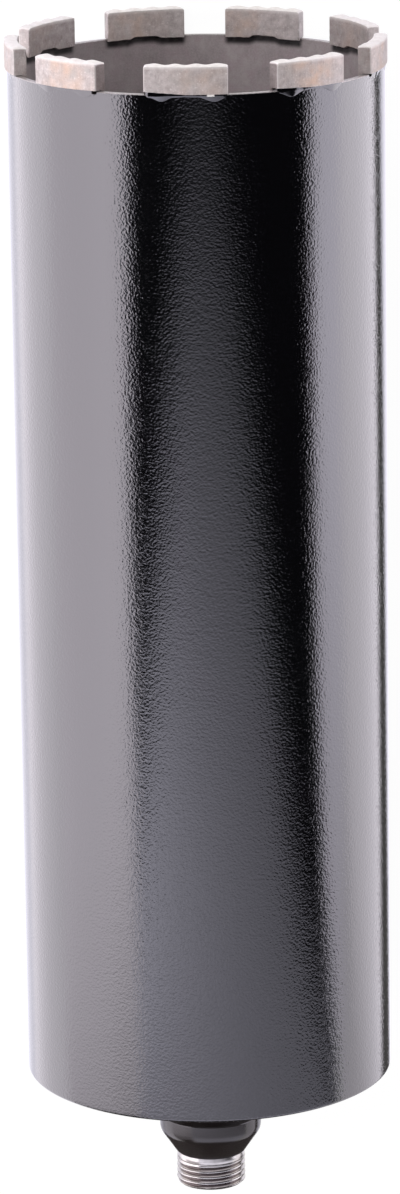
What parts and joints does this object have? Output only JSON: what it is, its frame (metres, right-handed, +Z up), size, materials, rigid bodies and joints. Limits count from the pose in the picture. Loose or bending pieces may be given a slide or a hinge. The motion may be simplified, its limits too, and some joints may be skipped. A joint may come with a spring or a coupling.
{
  "type": "diamond core bit",
  "caption": "Thin-walled steel core barrel with brazed diamond segments on its crown, and a welded rear hub with a male pipe thread and a water bore.",
  "frame": {"origin": "on the bit's axis, where the hub's cone meets the neck of the thread", "axes": "+Y along the bit's axis toward the crown, -Y out of the threaded end, +Z up with the bit lying on its side, one segment straight up and a slot between two segments straight down"},
  "size_m": [0.112, 0.3552, 0.1114],
  "materials": {
    "black_paint": "glossy black paint over a lightly rippled surface",
    "bare_steel": "bare turned steel",
    "segment_matrix": "matte sintered metal with fine diamond grit",
    "painted_braze": "braze fillet under black paint"
  },
  "bodies": {
    "root": {"barrel_tube": "black_paint", "end_plate": "black_paint", "plate_weld": "black_paint", "hub_weld": "black_paint", "threaded_hub": "bare_steel", "diamond_segment_1": "segment_matrix", "diamond_segment_2": "segment_matrix", "diamond_segment_3": "segment_matrix", "diamond_segment_4": "segment_matrix", "diamond_segment_5": "segment_matrix", "diamond_segment_6": "segment_matrix", "diamond_segment_7": "segment_matrix", "diamond_segment_8": "segment_matrix", "diamond_segment_9": "segment_matrix", "braze_seam_1": "painted_braze", "braze_seam_2": "painted_braze", "braze_seam_3": "painted_braze", "braze_seam_4": "painted_braze", "braze_seam_5": "painted_braze", "braze_seam_6": "painted_braze", "braze_seam_7": "painted_braze", "braze_seam_8": "painted_braze", "braze_seam_9": "painted_braze"}
  },
  "joints": []
}
